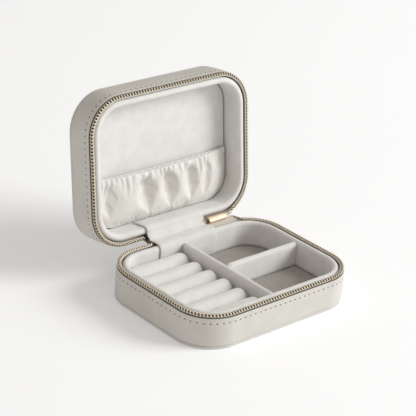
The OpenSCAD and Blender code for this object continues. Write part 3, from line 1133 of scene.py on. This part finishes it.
def back_panel():
    """Padded card at the back of the lid, its edge tucked down behind the velvet wall."""
    low, high = LID.box("lid_back_panel")
    count = 240
    inset = (BOX_W - (high.x - low.x)) / 2
    ring = [at(PERIMETER * i / count, inset, 0).to_2d() for i in range(count)]
    obj = pad("lid_back_card", ring, low.z, high.z - 0.25 * MM, 0.28 * MM, 0.8 * MM, 3.0)
    LID.finish(obj, VELVET, "velvet", "back_panel")


POCKET_LOW, POCKET_HIGH = LID.box("pocket_cloth")
PANEL_FACE = LID.box("lid_back_panel")[1].z
POCKET_BEND = CORNER_R - (BOX_W / 2 - POCKET_HIGH.x)
HEM_Y = POCKET_LOW.y


def pocket_edge_x(y):
    """Half the pocket's width at y, which narrows round the two lower corners."""
    start = POCKET_HIGH.y - POCKET_BEND
    return POCKET_HIGH.x - POCKET_BEND + round_depth(y - start, POCKET_BEND)


# Place across, width and depth in millimetres of each deep fold
FOLDS = ((-0.78, 0.085, 4.2), (-0.29, 0.105, 5.0), (0.05, 0.085, 4.8), (0.39, 0.090, 4.6),
         (0.66, 0.06, 2.8))


def pleats(u):
    """Fine gathers along the hem, between -1 and 1."""
    return math.sin(76 * u + 3.0 * math.sin(9 * u))


def pocket_height(u, v):
    """Height of the gathered cloth over the panel. u runs -1..1 across, v 0..1 from hem to bottom."""
    side = 1 - abs(u) ** 4
    belly = math.sin(math.pi * min(1.0, 0.22 + 0.78 * v)) ** 0.7
    height = (1.2 + 5.2 * belly) * side * smooth((1.02 - v) / 0.20)
    for centre, width, depth in FOLDS:
        drop = min(1.0, v / 0.78)
        spread = width * (0.28 + 0.95 * math.sin(math.pi * drop ** 1.3) ** 0.8)
        lean = 0.05 * v * math.sin(17 * centre)
        hollow = math.exp(-abs((u - centre - lean) / spread) ** 2.4)
        height -= depth * hollow * smooth((v - 0.06) / 0.20) * smooth((0.86 - v) / 0.34) * side
    length = 0.26 + 0.12 * math.sin(23 * u + 1.0)
    fan = smooth((v + 0.02) / 0.08) * smooth((length - v) / 0.20)
    height += 0.55 * pleats(u) * fan * side
    return max(0.15, height) * MM


POCKET_COLUMNS, POCKET_ROWS = 260, 72
HELD_ROWS = 9


def pocket_point(u, v):
    y = lerp(HEM_Y + 0.3 * MM, POCKET_HIGH.y + 0.3 * MM, v)
    x = u * (pocket_edge_x(y) + 0.2 * MM)
    sag = 0.5 * MM * (1 - u * u) * smooth((0.3 - v) / 0.3)
    return Vector((x, y + sag, PANEL_FACE + pocket_height(u, v)))


def relax_pocket(obj):
    """Lets the gathered cloth swell and settle, held along its hem, sides and bottom."""
    across = POCKET_COLUMNS + 1
    rim = []
    for i in range(POCKET_ROWS + 1):
        for k in range(across):
            if i < HELD_ROWS or i == POCKET_ROWS or k in (0, POCKET_COLUMNS):
                rim.append(i * across + k)
    obj.vertex_groups.new(name="held").add(rim, 1.0, "REPLACE")
    run_cloth(obj, 22, 1.6 * MM, quality=6, mass=0.2, tension_stiffness=12, compression_stiffness=12,
              shear_stiffness=4, bending_stiffness=2.0, shrink_min=-0.012, vertex_group_mass="held",
              uniform_pressure_force=0.45)
    floor, ceiling = PANEL_FACE + 0.25 * MM, POCKET_HIGH.z - 0.3 * MM
    for v in obj.data.vertices:
        v.co.z = min(max(v.co.z, floor), ceiling)
    obj.vertex_groups.clear()


def pocket():
    columns = [2 * (k / POCKET_COLUMNS) - 1 for k in range(POCKET_COLUMNS + 1)]
    rows = [[pocket_point(u, i / POCKET_ROWS) for u in columns] for i in range(POCKET_ROWS + 1)]
    obj = sheet("lid_pocket", rows)
    relax_pocket(obj)
    LID.put(thicken(obj, 0.35 * MM))
    dress(obj, POCKET, "pocket_velvet", "lid", "pocket_cloth")
    hem = pocket_hem()


def pocket_hem():
    """Ruffled casing of the elastic, folded over the pocket's upper edge."""
    columns = 400
    section = [(-0.25, 0.35), (-0.55, 0.0), (-0.25, -0.35), (0.6, -0.45), (1.6, -0.40), (2.6, -0.40),
               (3.3, -0.25), (3.5, 0.10), (3.3, 0.40), (2.6, 0.60), (1.6, 0.62), (0.6, 0.55)]
    rings = []
    for k in range(columns + 1):
        u = 2 * k / columns - 1
        y = HEM_Y + 0.4 * MM + 0.5 * MM * (1 - u * u)
        x = u * (pocket_edge_x(y) - 0.35 * MM)
        fine = math.sin(151 * u + 2 * math.sin(11 * u))
        side = 1 - abs(u) ** 3.5
        ring = []
        for dy, dz in section:
            wave = (0.55 * pleats(u) + 0.16 * fine) * smooth((dy + 0.6) / 2.4) * (0.4 + 0.6 * side)
            rise = 0.55 + 2.15 * side + wave + dz * (0.75 + 0.25 * side)
            ring.append(Vector((x, y + dy * MM, PANEL_FACE + rise * MM)))
        rings.append(ring)
    obj = LID.put(loft("lid_pocket_hem", rings))
    return dress(obj, POCKET, "pocket_velvet", "lid", "pocket_elastic")


# ---- Soft hinge ----

def curve_through(points, count):
    """Evenly spaced points on a smooth line through the given ones, and its length."""
    fine = []
    padded = points[:1] + points + points[-1:]
    for p0, p1, p2, p3 in zip(padded, padded[1:], padded[2:], padded[3:]):
        for k in range(20):
            t = k / 20
            a = p1 * 2 + (p2 - p0) * t
            b = (p0 * 2 - p1 * 5 + p2 * 4 - p3) * t * t
            c = (p1 * 3 - p0 - p2 * 3 + p3) * t * t * t
            fine.append((a + b + c) * 0.5)
    fine.append(points[-1])
    return along_line(fine, [k / (count - 1) for k in range(count)])


def lid_side(y, z):
    """A point on the hinge-side wall, given in base coordinates, as it lies on the open lid."""
    p = LID.place @ Vector((0, y, z))
    return Vector((p.y, p.z))


def strip(name, path, half_width, thickness, relief):
    """A soft strip across X along a (y, z) path. relief(x, share) lifts it off its path."""
    line, length = curve_through(path, 90)
    columns = 64
    last = len(line) - 1
    rows = []
    for i, p in enumerate(line):
        way = (line[min(i + 1, last)] - line[max(i - 1, 0)]).normalized()
        lift = Vector((-way.y, way.x))
        row = []
        for k in range(columns + 1):
            x = (2 * k / columns - 1) * half_width
            q = p + lift * relief(x, i / last)
            row.append(Vector((x, q.x, q.y)))
        rows.append(row)
    return thicken(sheet(name, rows), thickness), length


FLAP_LOW, FLAP_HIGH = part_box("hinge_flap_base")


def hinge_flap():
    """Velvet flap: down the base's back wall, over both rims and up the lid's wall."""
    inner = FLAP_LOW.y
    rim = FLAP_HIGH.z
    steps = ((1.0, -13.5), (0.15, -9.5), (0.0, -5.0), (0.15, -1.9), (1.3, -0.15), (4.2, 0.25),
             (7.4, -0.1))
    path = [Vector((inner + a * MM, rim + b * MM)) for a, b in steps]
    back = [lid_side(inner + a * MM, rim + b * MM) for a, b in reversed(steps)]
    middle = (path[-1] + back[0]) / 2 + Vector((-0.6 * MM, 0.5 * MM))
    path = path[:-1] + [middle] + back[1:]

    def relief(x, share):
        edge = (HINGE_HALF - abs(x)) / MM
        puff = 0.28 * smooth(edge / 2.2) - 0.10 * math.exp(-((edge - 1.5) / 0.35) ** 2)
        crease = -0.45 * math.exp(-((share - 0.50 - 0.010 * math.sin(x / (5 * MM))) / 0.020) ** 2)
        dimple = -0.55 * math.exp(-((share - 0.46) / 0.018) ** 2 - ((x - 13 * MM) / (3 * MM)) ** 2)
        soft = 0.22 * wobble((x, share * 34 * MM, 0), 13 * MM, 9.0)
        return (puff + crease + dimple + soft) * MM

    obj, length = strip("hinge_flap", path, HINGE_HALF - 0.15 * MM, 0.5 * MM, relief)
    dress(obj, VELVET, "velvet", None, "hinge_flap_base", "hinge_flap_lid")
    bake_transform(obj)


def hinge_spine():
    """Leather strip across the outside of the hinge."""
    low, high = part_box("hinge_spine_base")
    outer = (low.y + high.y) / 2
    steps = [(outer, low.z), (outer, low.z + 3 * MM), (outer, low.z + 6 * MM),
             (outer + 0.05 * MM, high.z - 0.8 * MM)]
    lower = [Vector(step) for step in steps]
    upper = [lid_side(*step) for step in reversed(steps)]
    middle = (lower[-1] + upper[0]) / 2 + Vector((-0.15 * MM, 0.2 * MM))
    path = lower + [middle] + upper

    def relief(x, share):
        edge = (HINGE_HALF - abs(x)) / MM
        seam = -0.12 * math.exp(-((edge - 1.6) / 0.35) ** 2)
        fold = 0.10 * math.sin(share * 60) * math.exp(-((share - 0.5) / 0.12) ** 2)
        return (seam + fold) * MM

    obj, length = strip("hinge_spine", path, HINGE_HALF - 0.1 * MM, 0.7 * MM, relief)
    dress(obj, LEATHER, "leather", None, "hinge_spine_base", "hinge_spine_lid")
    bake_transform(obj)


# ---- Slider and pull ----

HALF_OPEN = about_hinge(OPEN_ANGLE / 2)


def slider_box():
    """The slider's box on the closed zip."""
    back = HALF_OPEN.inverted()
    return box_of([back @ v.co for v in frame["nodes"]["zip_slider"].data.vertices])


def oval(centre_y, centre_z, half_y, half_z, count, power):
    """Points of a rounded oval in the Y-Z plane."""
    return [(centre_y + half_y * bulge(c, power), centre_z + half_z * bulge(s, power))
            for c, s in circle(count)]


def slider_body():
    """Oval tube with an open mouth on the left and a narrower end on the right."""
    low, high = slider_box()
    centre_y = low.y + 1.85 * MM
    centre_z = (low.z + high.z) / 2
    half_y, half_z = 1.95 * MM, (high.z - low.z) / 2 + 0.12 * MM
    length = SLIDER_HIGH.x - SLIDER_LOW.x + 1.5 * MM
    wall = 0.42 * MM
    # Share of the length, size and inset of each ring: along the outside and back along the inside
    outside = [(0.0, 0.93), (0.03, 0.975), (0.08, 1.0), (0.3, 1.0), (0.5, 1.0), (0.68, 0.985),
               (0.8, 0.96), (0.9, 0.93), (0.965, 0.89), (0.99, 0.85), (1.0, 0.80)]
    inside = [(1.0, 0.79), (0.97, 0.84), (0.85, 0.90), (0.6, 0.94), (0.3, 0.97), (0.06, 0.97)]
    loops = [(x, size, 0.0) for x, size in outside] + [(x, size, wall) for x, size in inside]
    loops += [(0.02, 0.95, wall * 0.85), (-0.005, 0.93, wall * 0.5)]
    rings = []
    for x, size, inset in loops:
        ring = oval(centre_y, centre_z, half_y * size - inset, half_z * size - inset, 56, 0.72)
        rings.append([HALF_OPEN @ Vector((SLIDER_LOW.x + length * x, y, z)) for y, z in ring])
    obj = loft("slider_body", rings, closed=True)
    modify(obj, "SUBSURF", levels=1, render_levels=1)
    return dress(obj, ROSE, "brass_fittings", "slider", "zip_slider")


def slider_bail():
    """Bar on two legs that the link hangs on, on the slider's outer face."""
    x = middle_of(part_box("pull_link")).x
    low, high = slider_box()
    face = low.y + 3.6 * MM
    bar = high.y - 0.45 * MM
    z = (low.z + high.z) / 2 - 0.15 * MM
    points = []
    for c, s in arc(0, 2, 24):
        y = lerp(face - 0.4 * MM, bar, max(0.0, s) ** 0.45)
        points.append(HALF_OPEN @ Vector((x - 1.9 * MM * c, y, z)))
    obj = tube("slider_bail", points, 0.42 * MM, 14)
    return dress(obj, ROSE, "brass_fittings", "slider")


def joined_coil():
    """The few coils that stay joined inside the slider."""
    low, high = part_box("zip_end_coil")
    middle = HALF_OPEN.inverted() @ middle_of((low, high))
    turns = 5
    count = turns * COIL_STEPS
    points = []
    for i, (c, s) in enumerate(arc(0, 4 * turns, count)):
        x = lerp(low.x + 0.3 * MM, high.x - 0.3 * MM, i / count)
        points.append(HALF_OPEN @ Vector((x, middle.y + 0.42 * MM * c, middle.z + 1.05 * MM * s)))
    obj = tube("joined_coil", points, 0.24 * MM, 8)
    return dress(obj, COIL, "zip_coil", "zip_end", "zip_end_coil")


def pull_link():
    low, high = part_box("pull_link")
    x, y = middle_of((low, high)).xy
    wire = 0.34 * MM
    half = (high.y - low.y) / 2 - wire + 0.03 * MM
    top, bottom = high.z - wire - half, low.z + wire + half
    points = [Vector((x, y + half * c, top + half * s)) for c, s in arc(0, 2, 16)]
    points += [Vector((x, y + half * c, bottom + half * s)) for c, s in arc(2, 4, 16)]
    obj = tube("link_ring", resample(points, 72), wire, 14, closed=True)
    return dress(obj, ROSE, "brass_fittings", "link", "pull_link")


def pull_tab():
    """Flat pull with softened edges, and a bar bent into a window for the link."""
    low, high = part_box("pull_tab")
    x, y = middle_of((low, high)).xy
    half = (high.x - low.x) / 2
    thick = (high.y - low.y) / 2
    bar_top = high.z - 0.5 * MM
    plate_top = bar_top - 2.9 * MM
    tip = low.z + half
    ring = [Vector((x + half * c, tip + half * s)) for c, s in arc(2, 4, 32)]
    for side, rise in ((1, 0), (0.5, 0.05 * MM), (-0.5, 0.05 * MM), (-1, 0)):
        ring.append(Vector((x + half * side, plate_top + rise)))
    ring = resample(ring, 120)
    rings = []
    for inset, side in ((0.9, -0.50), (0.35, -1.0), (0.12, -0.92), (0.0, -0.6), (0.0, 0.6), (0.12, 0.92),
                        (0.35, 1.0), (0.9, 0.50)):
        rings.append([Vector((p.x, y + side * thick, p.y)) for p in shrunk(ring, inset * MM, 0)])
    plate = loft("pull_plate", rings)
    dress(plate, ROSE, "brass_fittings", "pull", "pull_tab")
    reach = half - 0.62 * MM
    bend = 1.2 * MM
    left = [(-reach, plate_top + 0.3 * MM)]
    left += [(-reach + bend * (1 - c), bar_top - bend * (1 - s)) for c, s in arc(0, 1, 8)]
    points = [Vector((x + across, y, z)) for across, z in left]
    points += [Vector((x - across, y, z)) for across, z in reversed(left)]
    window = tube("pull_window", points, 0.5 * MM, 14)
    return dress(window, ROSE, "brass_fittings", "pull")


def end_stops(tray):
    """Small bent staple that closes the coil beside the hinge. The other end is inside the slider."""
    low, high = tray.box(tray.node("end_stops"))
    rings = []
    for offset, grow in ((-0.5, 0.80), (-0.42, 0.96), (-0.2, 1.0), (0.2, 1.0), (0.42, 0.96), (0.5, 0.80)):
        s = LEFT_S - 0.9 * MM + offset * 1.1 * MM
        middle = at(s, COIL_INSET, (low.z + high.z) / 2)
        out = outward(s)
        rings.append([middle + out * a * grow + UP * b * grow
                      for a, b in oval(0, 0, 0.72 * MM, (high.z - low.z) / 2, 24, 0.6)])
    tray.finish(loft(tray.node("coil_stops"), rings), DARK_BRASS, "zip_coil", "end_stops")


floor_pad("floor_pad_rear", 0)
floor_pad("floor_pad_front", 3)
long_divider()
short_divider()
for roll in range(1, ROLL_COUNT + 1):
    ring_roll(roll)
back_panel()
pocket()
hinge_flap()
hinge_spine()
slider_body()
slider_bail()
joined_coil()
pull_link()
pull_tab()
for tray in (BASE, LID):
    end_stops(tray)


# ---- Stage ----

# The camera, fitted to the photo
AZIMUTH = math.radians(-43.3)
ELEVATION = math.radians(24.9)
ROLL = math.radians(5.0)
DISTANCE = 0.874
SENSOR = 36
PHOTO_PX = 416
FOCAL_PX = 1605
AIM_RIGHT = -15.6 * MM
AIM_UP = 19.9 * MM


def placed(name, data, place, axes):
    """Adds a camera or a light to the scene."""
    obj = bpy.data.objects.new(name, data)
    obj.matrix_world = Matrix.Translation(place) @ axes.to_4x4()
    bpy.context.scene.collection.objects.link(obj)
    return obj


def camera():
    back = Vector((math.sin(AZIMUTH) * math.cos(ELEVATION), -math.cos(AZIMUTH) * math.cos(ELEVATION),
                   math.sin(ELEVATION)))
    right = UP.cross(back).normalized()
    up = back.cross(right)
    aim = UP * 30 * MM + right * AIM_RIGHT + up * AIM_UP
    rolled_right = right * math.cos(ROLL) + up * math.sin(ROLL)
    rolled_up = up * math.cos(ROLL) - right * math.sin(ROLL)
    data = bpy.data.cameras.new("camera")
    data.sensor_width = SENSOR
    data.lens = FOCAL_PX * SENSOR / PHOTO_PX
    data.clip_start = 0.01
    data.clip_end = 100
    axes = Matrix((rolled_right, rolled_up, back)).transposed()
    bpy.context.scene.camera = placed("camera", data, aim + back * DISTANCE, axes)


def key_light():
    """One large soft light from the right."""
    place = Vector((2.20, -1.88, 1.62))
    target = Vector((0, 0, 0.02))
    data = bpy.data.lights.new("key", "AREA")
    data.shape = "DISK"
    data.size = 1.9
    data.energy = 86.0
    data.color = (0.98, 0.99, 1.0)
    placed("key", data, place, (target - place).to_track_quat("-Z", "Y").to_matrix())


def studio_floor():
    """One plain flat sheet, large enough that its edge stays out of low views."""
    m = Nodes("studio_white", (0.95, 0.96, 0.98), 0.9)
    m.colour(m.noise(0.6, 2), (0.94, 0.95, 0.975), (0.955, 0.965, 0.99))
    m.set("Emission Color", (0.95, 0.97, 1.0, 1))
    m.set("Emission Strength", 0.15)
    size, steps = 60.0, 48
    line = [(k / steps - 0.5) * size for k in range(steps + 1)]
    obj = sheet("floor", [[Vector((x, y, 0)) for x in line] for y in line])
    obj.data.materials.append(m.material)


def world_light():
    world = bpy.data.worlds.new("studio")
    world.use_nodes = True
    background = world.node_tree.nodes["Background"]
    background.inputs["Color"].default_value = (1.0, 0.955, 0.885, 1)
    background.inputs["Strength"].default_value = 0.50
    bpy.context.scene.world = world


bpy.context.scene.view_settings.view_transform = "Standard"
camera()
studio_floor()
world_light()
key_light()

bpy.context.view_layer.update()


def write_sizes():
    import json


write_sizes()
